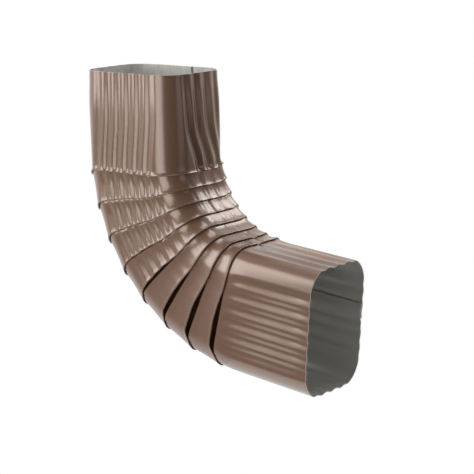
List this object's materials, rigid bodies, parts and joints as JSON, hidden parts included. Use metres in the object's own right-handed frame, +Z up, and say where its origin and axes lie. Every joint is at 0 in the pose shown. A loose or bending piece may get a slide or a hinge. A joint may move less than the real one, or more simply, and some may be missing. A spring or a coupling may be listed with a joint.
{
  "type": "downspout elbow",
  "caption": "Rectangular ribbed sheet-metal downspout elbow that turns sideways through folded pleats, painted outside, bare inside, open at both ends.",
  "frame": {"origin": "middle of the inlet opening, in the plane of its rim", "axes": "+Z up along the inlet leg, +X toward the throat and the outlet, Y across the bend with the lapped seam on the +Y wide wall"},
  "size_m": [0.2482, 0.0746, 0.2441],
  "materials": {
    "painted_sheet": "semi-gloss brown coil coating on thin aluminium sheet, bare metal on the inner side"
  },
  "bodies": {
    "root": {"elbow": "painted_sheet"}
  },
  "joints": []
}
